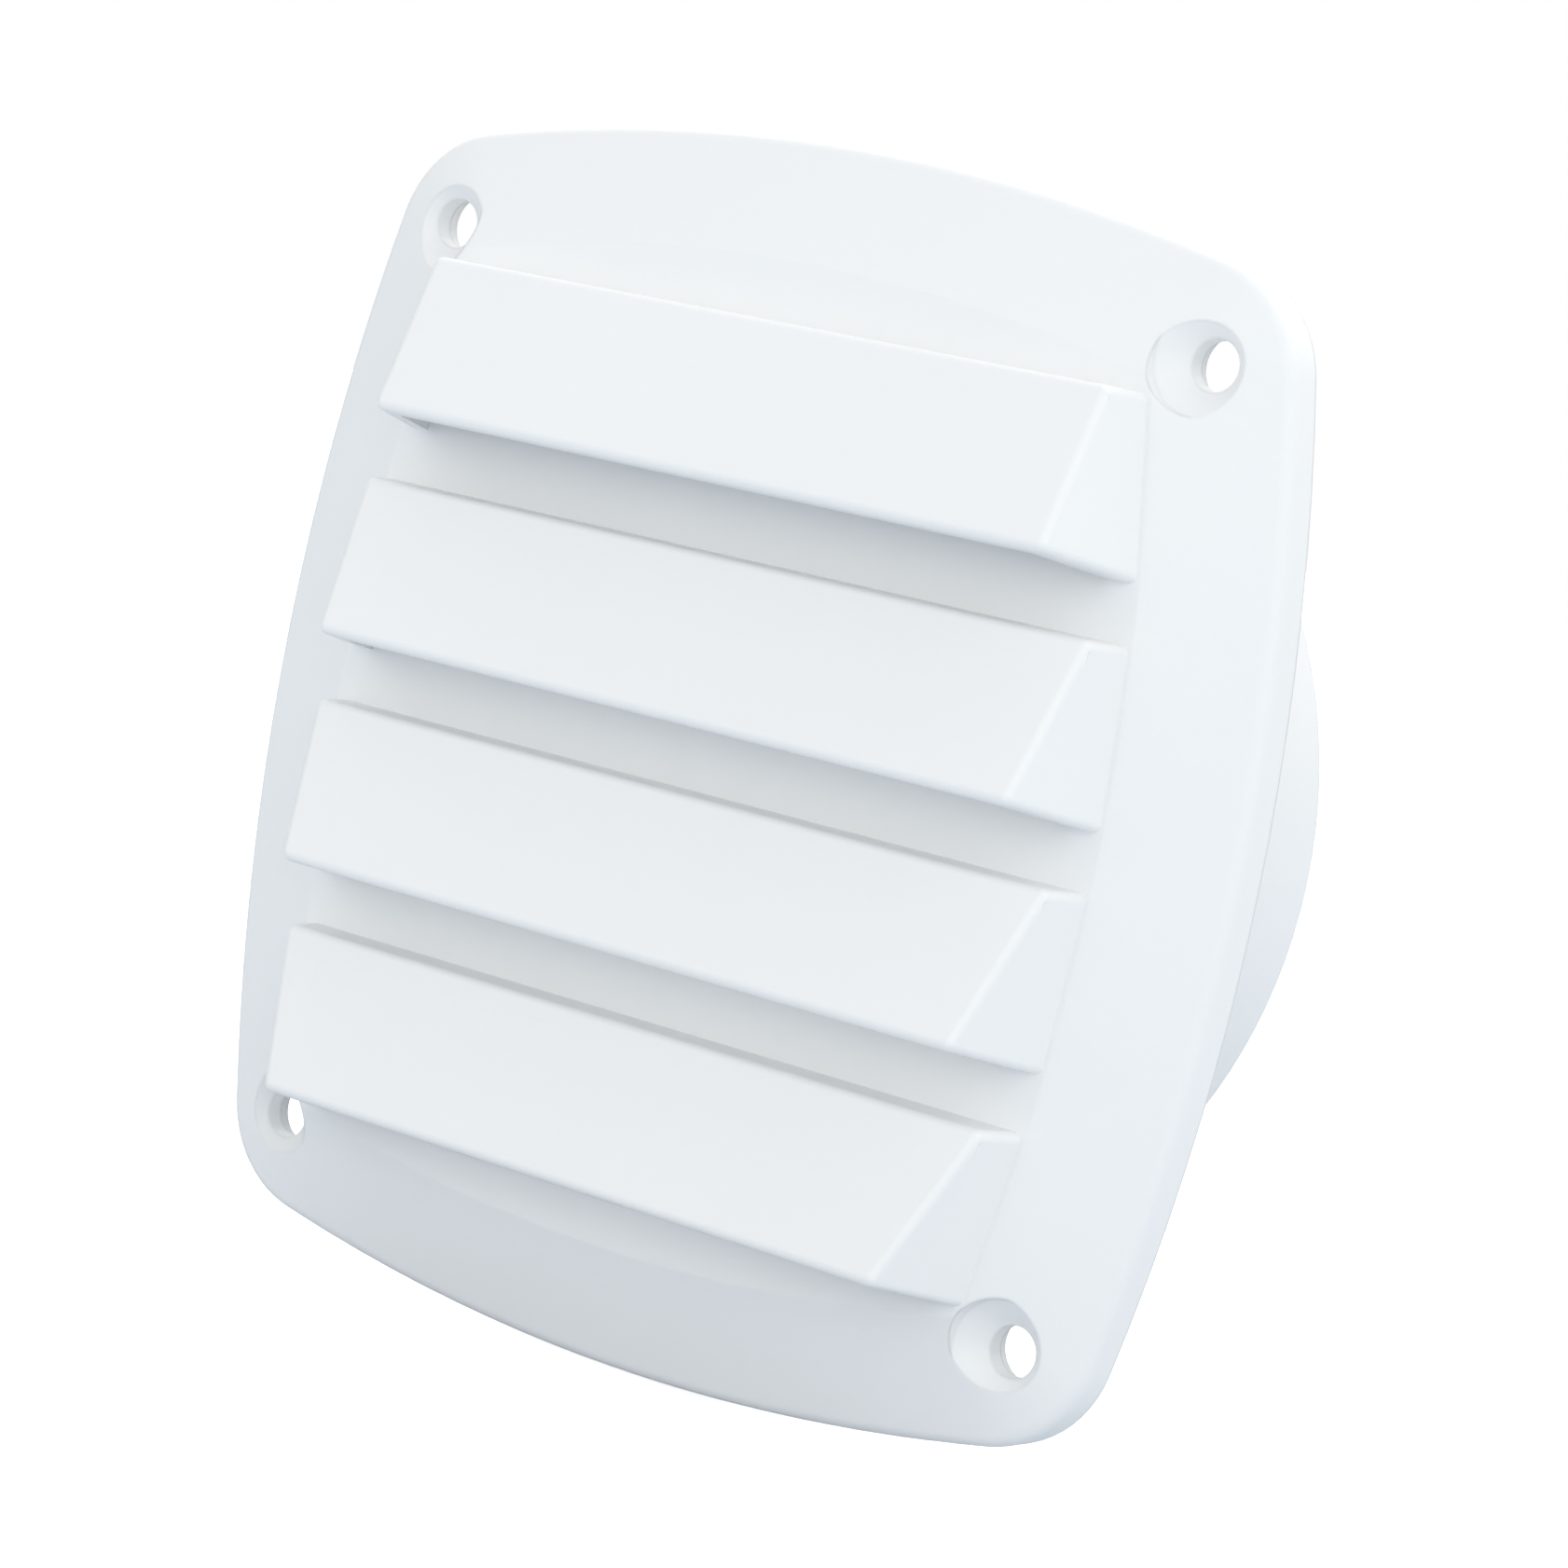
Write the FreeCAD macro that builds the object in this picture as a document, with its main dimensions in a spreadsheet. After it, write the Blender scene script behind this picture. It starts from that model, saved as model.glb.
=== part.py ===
import FreeCAD, Part
import math
import os
import Sketcher

# Louvred vent cover with a round duct spigot, for the outside wall of a caravan or boat.
# X is across the cover, Z is up and Y runs back into the wall.  The origin is the middle of the
# mounting plane, where the rim of the face plate meets the wall, so the louvres are at negative Y
# and the spigot is at positive Y.

V = FreeCAD.Vector
doc = FreeCAD.newDocument("duct_vent_cover")
sheet = doc.addObject("Spreadsheet::Sheet", "Sizes")

SIZES = [
    # face plate
    ("plate_width", 116.0, "across the middle of the bowed sides"),
    ("plate_height", 122.0, "across the middle of the bowed top and bottom"),
    ("side_bow", 8.4, "middle of the left and right sides, out from their ends"),
    ("top_bow", 8.2, "middle of the top and bottom, out from their ends"),
    ("corner_radius", 12.0, "plate corners"),
    ("rim_depth", 4.5, "straight edge that stands off the wall"),
    ("rim_round", 1.4, "rounding between the rim and the sloping band"),
    ("band_width", 12.2, "sloping band from the rim in to the flat floor"),
    ("floor_depth", 9.0, "front of the floor, from the wall"),
    ("floor_corner", 1.5, "corner radius of the floor"),
    ("plate_wall", 2.2, "moulded wall of the face plate"),
    # mounting screws
    ("screw_side_margin", 12.8, "screw axis from the side of the plate"),
    ("screw_top_margin", 14.3, "screw axis from the top or bottom of the plate"),
    ("screw_bore", 5.0, "clearance hole for a 4.5 mm countersunk screw"),
    ("sink_depth", 5.0, "small end of the countersink, from the wall"),
    ("sink_angle", 90.0, "included angle of the countersink"),
    ("sink_radius", 5.1, "straight well that the countersink opens into"),
    ("boss_radius", 7.0, "boss round each screw hole"),
    # louvre hoods
    ("top_louvre", 43.0, "top of the first hood, above the middle"),
    ("louvre_pitch", 23.0, "from one hood to the next"),
    ("louvre_height", 16.0, "hood from its top to its lip"),
    ("louvre_rise", 5.0, "hood top, in front of the floor"),
    ("lip_reach", 10.7, "hood lip, in front of the floor"),
    ("mouth_drop", 1.4, "hood foot below its lip"),
    ("foot_inset", 0.3, "hood foot, in from the edge of the floor"),
    ("cheek_top_inset", 1.3, "ridge in from the foot at the hood top"),
    ("cheek_lip_inset", 4.3, "ridge in from the foot at the lip"),
    ("hood_wall", 1.8, "moulded wall of a hood"),
    ("hood_round", 0.9, "rounding of a hood's ridges, top and lip"),
    ("foot_land", 0.9, "part of a hood's wall that stands on the floor; the rest is its tongue"),
    ("slot_gap", 0.1, "tongue to slot"),
    # duct spigot
    ("spigot_diameter", 101.0, "outside, for a 102 mm hose"),
    ("spigot_wall", 2.0, "tube wall"),
    ("spigot_length", 24.0, "tube end, behind the wall plane"),
    ("spigot_round", 0.8, "rounding of the tube end"),
    ("flange_thickness", 2.0, "flange that closes the back of the plate"),
    ("flange_gap", 0.25, "flange to the inside of the rim"),
    ("flange_seat", 0.05, "flange to the edge of the sloping band inside"),
    ("ledge_width", 2.0, "ledge inside the tube that the screen rests on"),
    ("flange_screw_hole", 6.5, "hole for the mounting screw in the flange"),
    # heat stakes that hold the flange
    ("stake_edge", 4.8, "stake axis from the edge of the flange"),
    ("stake_height", 30.0, "stake axis above or below the middle"),
    ("stake_diameter", 3.2, "stake"),
    ("stake_hole", 3.5, "hole for a stake in the flange"),
    ("stake_head", 5.6, "flattened head of a stake"),
    ("stake_head_thickness", 0.7, "flattened head of a stake"),
    # insect screen and its spring ring
    ("screen_gap", 0.2, "screen and ring to the inside of the tube"),
    ("screen_thickness", 0.8, "screen"),
    ("screen_frame", 2.5, "solid border of the screen"),
    ("screen_pitch", 5.5, "one bar of the screen to the next"),
    ("screen_bar", 0.8, "width of a screen bar"),
    ("ring_width", 2.0, "spring ring, from its outside to its inside"),
    ("ring_length", 3.0, "spring ring, along the tube"),
    ("ring_split", 4.0, "open split of the spring ring"),
    # gasket
    ("gasket_gap", 1.5, "gasket to the tube"),
    ("gasket_hole_gap", 1.0, "gasket to screw holes and stake heads, all round"),
    # every cutting shape
    ("overcut", 1.0, "how far a cutting shape runs past what it cuts"),
]
for row, (alias, value, note) in enumerate(SIZES, start=1):
    sheet.set(f"A{row}", alias)
    sheet.set(f"B{row}", str(value))
    sheet.set(f"C{row}", note)
    sheet.setAlias(f"B{row}", alias)
doc.recompute()

# Values that follow from the driving sizes, as sheet expressions.
SIDE_RADIUS = "(((Sizes.plate_height / 2) ^ 2 + Sizes.side_bow ^ 2) / (2 * Sizes.side_bow))"
TOP_RADIUS = "(((Sizes.plate_width / 2) ^ 2 + Sizes.top_bow ^ 2) / (2 * Sizes.top_bow))"
BAND_SLOPE = "((Sizes.floor_depth - Sizes.rim_depth) / Sizes.band_width)"
SKIN_DROP = f"(Sizes.plate_wall * sqrt(1 + {BAND_SLOPE} ^ 2))"
FLOOR_BACK = "(Sizes.floor_depth - Sizes.plate_wall)"
CAVITY_EDGE = f"(Sizes.rim_depth + {BAND_SLOPE} * Sizes.plate_wall - {SKIN_DROP})"
CAVITY_FLOOR_INSET = f"(({FLOOR_BACK} + {SKIN_DROP} - Sizes.rim_depth) / {BAND_SLOPE})"
FLANGE_INSET = "(Sizes.plate_wall + Sizes.flange_gap)"
FLANGE_EDGE = f"(Sizes.rim_depth + {BAND_SLOPE} * {FLANGE_INSET} - {SKIN_DROP})"
FLANGE_FRONT = f"({FLANGE_EDGE} - Sizes.flange_seat)"
FLANGE_BACK = f"({FLANGE_FRONT} - Sizes.flange_thickness)"
SCREW_X = "(Sizes.plate_width / 2 - Sizes.screw_side_margin)"
SCREW_Z = "(Sizes.plate_height / 2 - Sizes.screw_top_margin)"
SIDE_CENTRE = f"({SIDE_RADIUS} - Sizes.plate_width / 2)"
STAKE_Z = "Sizes.stake_height"
SIDE_AT_STAKE = f"(sqrt({SIDE_RADIUS} ^ 2 - {STAKE_Z} ^ 2) - {SIDE_CENTRE})"
STAKE_X = f"({SIDE_AT_STAKE} - {FLANGE_INSET} - Sizes.stake_edge)"
SINK_FRONT = "(Sizes.sink_depth + (Sizes.sink_radius - Sizes.screw_bore / 2) / tan(Sizes.sink_angle / 2))"
MOUTH_SLOPE = "(Sizes.mouth_drop / Sizes.lip_reach)"
LIP_FRONT = "(-1 * (Sizes.floor_depth + Sizes.lip_reach))"
TUBE_OUTSIDE = "(Sizes.spigot_diameter / 2)"
TUBE_INSIDE = "(Sizes.spigot_diameter / 2 - Sizes.spigot_wall)"
FLANGE_BORE = f"({TUBE_INSIDE} - Sizes.ledge_width)"
SCREEN_RADIUS = f"({TUBE_INSIDE} - Sizes.screen_gap)"
SCREEN_BACK = f"({FLANGE_BACK} - Sizes.screen_thickness)"
QUARTERS = [(1, 1), (-1, 1), (-1, -1), (1, -1)]
HOODS = ["top_louvre_hood", "upper_louvre_hood", "lower_louvre_hood", "bottom_louvre_hood"]
NEAR = 0.001


def number(expression):
    """The value of a sheet expression."""
    result = sheet.evalExpression(expression)
    return float(getattr(result, "Value", result))


def new_body(name):
    """An empty PartDesign body; its label names the sub-part."""
    body = doc.addObject("PartDesign::Body", name)
    body.Label = name
    return body


def new_sketch(body, name, plane, offset):
    """A sketch on one of the body's own planes, moved along the plane's normal."""
    sketch = body.newObject("Sketcher::SketchObject", name)
    support = [item for item in body.Origin.OriginFeatures if item.Role == plane][0]
    sketch.AttachmentSupport = [(support, "")]
    sketch.MapMode = "FlatFace"
    sketch.setExpression("AttachmentOffset.Base.z", offset)
    return sketch


def bind(sketch, constraint, expression):
    """Adds a constraint whose size comes from the sheet."""
    index = sketch.addConstraint(Sketcher.Constraint(*constraint, number(expression)))
    sketch.setExpression(f"Constraints[{index}]", expression)


def add_circle(sketch, x, z, radius):
    """A circle whose centre and radius are sheet expressions."""
    circle = Part.Circle(V(number(x), number(z), 0), V(0, 0, 1), number(radius))
    index = sketch.addGeometry(circle)
    bind(sketch, ("Radius", index), radius)
    bind(sketch, ("DistanceX", -1, 1, index, 3), x)
    bind(sketch, ("DistanceY", -1, 1, index, 3), z)


def add_centred_circle(sketch, radius):
    """A circle about the sketch's origin."""
    index = sketch.addGeometry(Part.Circle(V(0, 0, 0), V(0, 0, 1), number(radius)))
    sketch.addConstraint(Sketcher.Constraint("Coincident", index, 3, -1, 1))
    bind(sketch, ("Radius", index), radius)


def add_four_circles(sketch, x, z, radius):
    """The same circle in each quarter of the plate."""
    for across, up in QUARTERS:
        add_circle(sketch, f"{across} * {x}", f"{up} * {z}", radius)


def corner_centre(side_drop, side_reach, top_drop, top_reach):
    """Upper right crossing of circles about (-side_drop, 0) and (0, -top_drop)."""
    span = math.hypot(side_drop, top_drop)
    along = (side_reach ** 2 - top_reach ** 2 + span ** 2) / (2 * span)
    across = math.sqrt(side_reach ** 2 - along ** 2)
    x = -side_drop + (along * side_drop + across * top_drop) / span
    z = (across * side_drop - along * top_drop) / span
    return x, z


def add_pillow(sketch, inset, corner):
    """The plate's outline, inset all round: four bowed sides joined by four round corners."""
    half_width = number(f"Sizes.plate_width / 2 - {inset}")
    half_height = number(f"Sizes.plate_height / 2 - {inset}")
    side = number(f"{SIDE_RADIUS} - {inset}")
    top = number(f"{TOP_RADIUS} - {inset}")
    bend = number(corner)
    side_drop = side - half_width
    top_drop = top - half_height
    x, z = corner_centre(side_drop, side - bend, top_drop, top - bend)
    low = math.atan2(z, x + side_drop)
    high = math.atan2(z + top_drop, x)
    half_turn = math.pi
    arcs = [
        (-side_drop, 0, side, -low, low),
        (x, z, bend, low, high),
        (0, -top_drop, top, high, half_turn - high),
        (-x, z, bend, half_turn - high, half_turn - low),
        (side_drop, 0, side, half_turn - low, half_turn + low),
        (-x, -z, bend, half_turn + low, half_turn + high),
        (0, top_drop, top, half_turn + high, 2 * half_turn - high),
        (x, -z, bend, 2 * half_turn - high, 2 * half_turn - low),
    ]
    first = sketch.GeometryCount
    for centre_x, centre_z, radius, start, end in arcs:
        circle = Part.Circle(V(centre_x, centre_z, 0), V(0, 0, 1), radius)
        sketch.addGeometry(Part.ArcOfCircle(circle, start, end))
    right, top_arc, left, bottom = first, first + 2, first + 4, first + 6
    for step in range(8):
        this_arc = first + step
        next_arc = first + (step + 1) % 8
        sketch.addConstraint(Sketcher.Constraint("Tangent", this_arc, 2, next_arc, 1))
    for arc in (right, left):
        bind(sketch, ("Radius", arc), f"{SIDE_RADIUS} - {inset}")
        sketch.addConstraint(Sketcher.Constraint("PointOnObject", arc, 3, -1))
    for arc in (top_arc, bottom):
        bind(sketch, ("Radius", arc), f"{TOP_RADIUS} - {inset}")
        sketch.addConstraint(Sketcher.Constraint("PointOnObject", arc, 3, -2))
    for arc in (first + 1, first + 3, first + 5, first + 7):
        bind(sketch, ("Radius", arc), corner)
    side_offset = f"{SIDE_RADIUS} - Sizes.plate_width / 2"
    top_offset = f"{TOP_RADIUS} - Sizes.plate_height / 2"
    bind(sketch, ("DistanceX", right, 3, -1, 1), side_offset)
    bind(sketch, ("DistanceX", -1, 1, left, 3), side_offset)
    bind(sketch, ("DistanceY", top_arc, 3, -1, 1), top_offset)
    bind(sketch, ("DistanceY", -1, 1, bottom, 3), top_offset)


def add_trapezoid(sketch, low, high, low_half, high_half):
    """A symmetric four-sided outline between two levels of the sketch."""
    low_y, high_y = number(low), number(high)
    low_x, high_x = number(low_half), number(high_half)
    corners = [V(-low_x, low_y, 0), V(low_x, low_y, 0), V(high_x, high_y, 0), V(-high_x, high_y, 0)]
    first = sketch.GeometryCount
    for start, end in zip(corners, corners[1:] + corners[:1]):
        sketch.addGeometry(Part.LineSegment(start, end))
    for step in range(4):
        this_line = first + step
        next_line = first + (step + 1) % 4
        sketch.addConstraint(Sketcher.Constraint("Coincident", this_line, 2, next_line, 1))
    for line, right_end, half in ((first, 2, low_half), (first + 2, 1, high_half)):
        sketch.addConstraint(Sketcher.Constraint("Symmetric", line, 1, line, 2, -2))
        bind(sketch, ("DistanceX", -1, 1, line, right_end), half)
    bind(sketch, ("DistanceY", -1, 1, first, 1), low)
    bind(sketch, ("DistanceY", -1, 1, first + 2, 1), high)


def pad(body, sketch, length, backwards=False):
    """Pads a sketch; forwards is along its normal."""
    feature = body.newObject("PartDesign::Pad", "Pad")
    feature.Profile = sketch
    feature.Reversed = backwards
    feature.setExpression("Length", length)
    doc.recompute()
    return feature


def loft(body, kind, start, end):
    """A straight loft between two sketches; kind is Additive or Subtractive."""
    feature = body.newObject(f"PartDesign::{kind}Loft", f"{kind}Loft")
    feature.Profile = start
    feature.Sections = [end]
    feature.Ruled = True
    doc.recompute()
    return feature


def fillet(body, edges, radius):
    """Rounds edges of the body's newest feature."""
    newest = body.Tip
    feature = body.newObject("PartDesign::Fillet", "Fillet")
    feature.Base = (newest, edges)
    feature.setExpression("Radius", radius)
    doc.recompute()
    return feature


def edges_where(shape, test):
    """Names of the edges whose middle point passes the test."""
    names = []
    for index, edge in enumerate(shape.Edges, start=1):
        middle = edge.valueAt((edge.FirstParameter + edge.LastParameter) / 2)
        if test(middle):
            names.append(f"Edge{index}")
    return names


def peg(name, x, z, radius, back, front):
    """A cylinder along Y between two depths in front of the wall plane."""
    cylinder = doc.addObject("Part::Cylinder", name)
    cylinder.Placement = FreeCAD.Placement(V(0, 0, 0), FreeCAD.Rotation(V(1, 0, 0), 90))
    cylinder.setExpression("Radius", radius)
    cylinder.setExpression("Height", f"({front}) - ({back})")
    cylinder.setExpression("Placement.Base.x", x)
    cylinder.setExpression("Placement.Base.y", f"-1 * ({back})")
    cylinder.setExpression("Placement.Base.z", z)
    return cylinder


def four_pegs(name, x, z, radius, back, front):
    """The same peg in each quarter of the plate."""
    return [
        peg(f"{name}{index}", f"{across} * {x}", f"{up} * {z}", radius, back, front)
        for index, (across, up) in enumerate(QUARTERS, start=1)
    ]


def fuse(name, shapes):
    """One shape from several."""
    result = doc.addObject("Part::MultiFuse", name)
    result.Shapes = shapes
    return result


def cut(name, base, tool):
    """The base with the tool taken away."""
    result = doc.addObject("Part::Cut", name)
    result.Base = base
    result.Tool = tool
    return result


def foot_half(level):
    """Half the width between a hood's feet at a level: just inside the edge of the floor."""
    reach = f"({SIDE_RADIUS} - Sizes.band_width)"
    return f"(sqrt({reach} ^ 2 - ({level}) ^ 2) - {SIDE_CENTRE} - Sizes.foot_inset)"


def hood_levels(index):
    """The top and the lip of a hood, counted down from the first."""
    top = f"(Sizes.top_louvre - {index} * Sizes.louvre_pitch)"
    return top, f"({top} - Sizes.louvre_height)"


def slot_outline(sketch, index, inset):
    """The hole behind a hood, inset from its feet and top."""
    top, lip = hood_levels(index)
    low_half = f"({foot_half(lip)} - {inset})"
    high_half = f"({foot_half(top)} - {inset})"
    add_trapezoid(sketch, lip, f"({top} - {inset})", low_half, high_half)


def build_face_plate():
    """Moulded shell: rim, sloping band and flat floor, with bosses, slots and stakes."""
    outside = new_body("plate_outside")
    rim = new_sketch(outside, "rim_outline", "XZ_Plane", "0 * Sizes.rim_depth")
    add_pillow(rim, "0", "Sizes.corner_radius")
    pad(outside, rim, "Sizes.rim_depth")
    band = new_sketch(outside, "band_outline", "XZ_Plane", "Sizes.rim_depth")
    add_pillow(band, "0", "Sizes.corner_radius")
    floor = new_sketch(outside, "floor_outline", "XZ_Plane", "Sizes.floor_depth")
    add_pillow(floor, "Sizes.band_width", "Sizes.floor_corner")
    loft(outside, "Additive", band, floor)
    rim_y = -number("Sizes.rim_depth")
    on_rim = edges_where(outside.Shape, lambda middle: abs(middle.y - rim_y) < NEAR)
    fillet(outside, on_rim, "Sizes.rim_round")

    cavity = new_body("plate_cavity")
    mouth = new_sketch(cavity, "mouth_outline", "XZ_Plane", "-1 * Sizes.plate_wall")
    add_pillow(mouth, "Sizes.plate_wall", "(Sizes.corner_radius - Sizes.plate_wall)")
    pad(cavity, mouth, f"Sizes.plate_wall + {CAVITY_EDGE}")
    edge = new_sketch(cavity, "edge_outline", "XZ_Plane", CAVITY_EDGE)
    add_pillow(edge, "Sizes.plate_wall", "(Sizes.corner_radius - Sizes.plate_wall)")
    ceiling = new_sketch(cavity, "ceiling_outline", "XZ_Plane", FLOOR_BACK)
    add_pillow(ceiling, CAVITY_FLOOR_INSET, "Sizes.floor_corner")
    loft(cavity, "Additive", edge, ceiling)
    past_floor = "(Sizes.floor_depth + Sizes.overcut)"
    bosses = four_pegs("boss", SCREW_X, SCREW_Z, "Sizes.boss_radius", FLANGE_FRONT, past_floor)
    hollow = cut("hollow", cavity, fuse("bosses", bosses))
    shell = cut("shell", outside, hollow)

    stake_top = "(Sizes.rim_depth + Sizes.plate_wall / 2)"
    stake_radius = "(Sizes.stake_diameter / 2)"
    head_back = f"({FLANGE_BACK} - Sizes.stake_head_thickness)"
    stakes = four_pegs("stake", STAKE_X, STAKE_Z, stake_radius, FLANGE_BACK, stake_top)
    heads = four_pegs("head", STAKE_X, STAKE_Z, "Sizes.stake_head / 2", head_back, FLANGE_BACK)
    moulding = fuse("moulding", [shell] + stakes + heads)

    bores = four_pegs("bore", SCREW_X, SCREW_Z, "Sizes.screw_bore / 2", "0", past_floor)
    wells = four_pegs("well", SCREW_X, SCREW_Z, "Sizes.sink_radius", SINK_FRONT, past_floor)
    sinks = [countersink(index, across, up) for index, (across, up) in enumerate(QUARTERS, start=1)]
    slots = []
    for index, name in enumerate(HOODS):
        slot = new_body(f"{name}_slot")
        outline = new_sketch(slot, "slot_outline", "XZ_Plane", f"{FLOOR_BACK} - Sizes.overcut")
        slot_outline(outline, index, "Sizes.foot_land")
        pad(slot, outline, "Sizes.plate_wall + 2 * Sizes.overcut")
        slots.append(slot)
    plate = cut("face_plate", moulding, fuse("plate_openings", bores + wells + sinks + slots))
    plate.Label = "face_plate"
    return plate


def countersink(index, across, up):
    """The cone that a screw head sits in, from the bore out to the straight well."""
    cone = doc.addObject("Part::Cone", f"sink{index}")
    cone.Placement = FreeCAD.Placement(V(0, 0, 0), FreeCAD.Rotation(V(1, 0, 0), 90))
    cone.setExpression("Radius1", "Sizes.screw_bore / 2")
    cone.setExpression("Radius2", "Sizes.sink_radius")
    cone.setExpression("Height", f"{SINK_FRONT} - Sizes.sink_depth")
    cone.setExpression("Placement.Base.x", f"{across} * {SCREW_X}")
    cone.setExpression("Placement.Base.y", "-1 * Sizes.sink_depth")
    cone.setExpression("Placement.Base.z", f"{up} * {SCREW_Z}")
    return cone


def mouth_sketch(body, name, lip):
    """A sketch on the plane of a hood's mouth, which slopes down from the lip to the floor."""
    sketch = new_sketch(body, name, "XY_Plane", f"{lip} + {LIP_FRONT} * {MOUTH_SLOPE}")
    sketch.AttachmentOffset = FreeCAD.Placement(V(0, 0, 0), FreeCAD.Rotation(V(1, 0, 0), -1))
    sketch.setExpression("AttachmentOffset.Rotation.Angle", f"-1 * atan({MOUTH_SLOPE})")
    return sketch


def along_mouth(depth):
    """A depth measured along the sloping plane of a hood's mouth."""
    return f"({depth} * sqrt(1 + {MOUTH_SLOPE} ^ 2))"


def build_hood(index, name):
    """One louvre hood: a thin scoop, open below and behind, with a tongue for its slot."""
    top, lip = hood_levels(index)
    foot = f"({lip} - Sizes.mouth_drop)"
    wall = "Sizes.hood_wall"
    floor = "(-1 * Sizes.floor_depth)"
    top_front = "(-1 * (Sizes.floor_depth + Sizes.louvre_rise))"
    top_ridge = f"({foot_half(top)} - Sizes.cheek_top_inset)"
    lip_ridge = f"({foot_half(lip)} - Sizes.cheek_lip_inset)"
    body = new_body(name)

    top_end = new_sketch(body, "top_end", "XY_Plane", top)
    add_trapezoid(top_end, top_front, floor, top_ridge, foot_half(top))
    lip_end = mouth_sketch(body, "lip_end", lip)
    add_trapezoid(lip_end, along_mouth(LIP_FRONT), along_mouth(floor), lip_ridge, foot_half(foot))
    loft(body, "Additive", top_end, lip_end)
    front = -number("Sizes.floor_depth") - NEAR
    fillet(body, edges_where(body.Shape, lambda middle: middle.y < front), "Sizes.hood_round")

    tongue = new_sketch(body, "tongue_outline", "XZ_Plane", FLOOR_BACK)
    slot_outline(tongue, index, "(Sizes.foot_land + Sizes.slot_gap)")
    pad(body, tongue, "Sizes.plate_wall")

    back = f"(Sizes.overcut - {FLOOR_BACK})"
    inner_top = new_sketch(body, "inner_top", "XY_Plane", f"{top} - {wall}")
    add_trapezoid(inner_top, f"({top_front} + {wall})", back, f"({top_ridge} - {wall})",
                  f"({foot_half(top)} - {wall})")
    inner_lip = mouth_sketch(body, "inner_lip", f"({lip} - Sizes.overcut)")
    add_trapezoid(inner_lip, f"({along_mouth(LIP_FRONT)} + {wall})", along_mouth(back),
                  f"({lip_ridge} - {wall})", f"({foot_half(foot)} - {wall})")
    loft(body, "Subtractive", inner_top, inner_lip)
    return body


def build_duct_spigot():
    """Round hose tube on a flange that closes the back of the face plate."""
    body = new_body("duct_spigot")
    flange = new_sketch(body, "flange_outline", "XZ_Plane", FLANGE_BACK)
    add_pillow(flange, FLANGE_INSET, f"(Sizes.corner_radius - {FLANGE_INSET})")
    add_centred_circle(flange, FLANGE_BORE)
    add_four_circles(flange, SCREW_X, SCREW_Z, "Sizes.flange_screw_hole / 2")
    add_four_circles(flange, STAKE_X, STAKE_Z, "Sizes.stake_hole / 2")
    pad(body, flange, "Sizes.flange_thickness")
    tube = new_sketch(body, "tube_outline", "XZ_Plane", FLANGE_BACK)
    add_centred_circle(tube, TUBE_OUTSIDE)
    add_centred_circle(tube, TUBE_INSIDE)
    pad(body, tube, f"{FLANGE_BACK} + Sizes.spigot_length", backwards=True)
    end = number("Sizes.spigot_length") - NEAR
    fillet(body, edges_where(body.Shape, lambda middle: middle.y > end), "Sizes.spigot_round")
    return body


def build_insect_screen():
    """Moulded square mesh in a round frame, resting on the ledge inside the spigot."""
    mesh_radius = f"({SCREEN_RADIUS} - Sizes.screen_frame)"
    blank = peg("screen_blank", "0", "0", SCREEN_RADIUS, SCREEN_BACK, FLANGE_BACK)
    window = peg("screen_window", "0", "0", mesh_radius, f"{SCREEN_BACK} - Sizes.overcut",
                 f"{FLANGE_BACK} + Sizes.overcut")
    field = peg("screen_field", "0", "0", f"({mesh_radius} + Sizes.screen_frame / 2)",
                SCREEN_BACK, FLANGE_BACK)
    count = int(number(mesh_radius) / number("Sizes.screen_pitch"))
    bars = []
    for step in range(-count, count + 1):
        for across in ("x", "z"):
            bars.append(screen_bar(step, across))
    mesh = doc.addObject("Part::MultiCommon", "mesh")
    mesh.Shapes = [field, fuse("bars", bars)]
    screen = fuse("insect_screen", [cut("screen_border", blank, window), mesh])
    screen.Label = "insect_screen"
    return screen


def screen_bar(step, across):
    """One straight bar of the mesh, spaced along the axis it is named for."""
    bar = doc.addObject("Part::Box", f"bar_{across}")
    if across == "x":
        width_side, length_side, along = "Length", "Height", "z"
    else:
        width_side, length_side, along = "Height", "Length", "x"
    middle = f"{step} * Sizes.screen_pitch"
    bar.setExpression(width_side, "Sizes.screen_bar")
    bar.setExpression(length_side, f"2 * {SCREEN_RADIUS}")
    bar.setExpression("Width", "Sizes.screen_thickness")
    bar.setExpression(f"Placement.Base.{across}", f"{middle} - Sizes.screen_bar / 2")
    bar.setExpression(f"Placement.Base.{along}", f"-1 * {SCREEN_RADIUS}")
    bar.setExpression("Placement.Base.y", f"-1 * {FLANGE_BACK}")
    return bar


def build_screen_ring():
    """Split spring ring that holds the screen against its ledge."""
    back = f"({SCREEN_BACK} - Sizes.ring_length)"
    outside = peg("ring_outside", "0", "0", SCREEN_RADIUS, back, SCREEN_BACK)
    inside = peg("ring_inside", "0", "0", f"({SCREEN_RADIUS} - Sizes.ring_width)",
                 f"{back} - Sizes.overcut", f"{SCREEN_BACK} + Sizes.overcut")
    split = doc.addObject("Part::Box", "ring_gap")
    split.setExpression("Length", "Sizes.ring_split")
    split.setExpression("Width", "Sizes.ring_length + 2 * Sizes.overcut")
    split.setExpression("Height", f"{SCREEN_RADIUS} + Sizes.overcut")
    split.setExpression("Placement.Base.x", "-1 * Sizes.ring_split / 2")
    split.setExpression("Placement.Base.y", f"-1 * {SCREEN_BACK} - Sizes.overcut")
    split.setExpression("Placement.Base.z", f"-1 * {SCREEN_RADIUS} - Sizes.overcut")
    ring = cut("screen_ring", outside, fuse("ring_cuts", [inside, split]))
    ring.Label = "screen_ring"
    return ring


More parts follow.
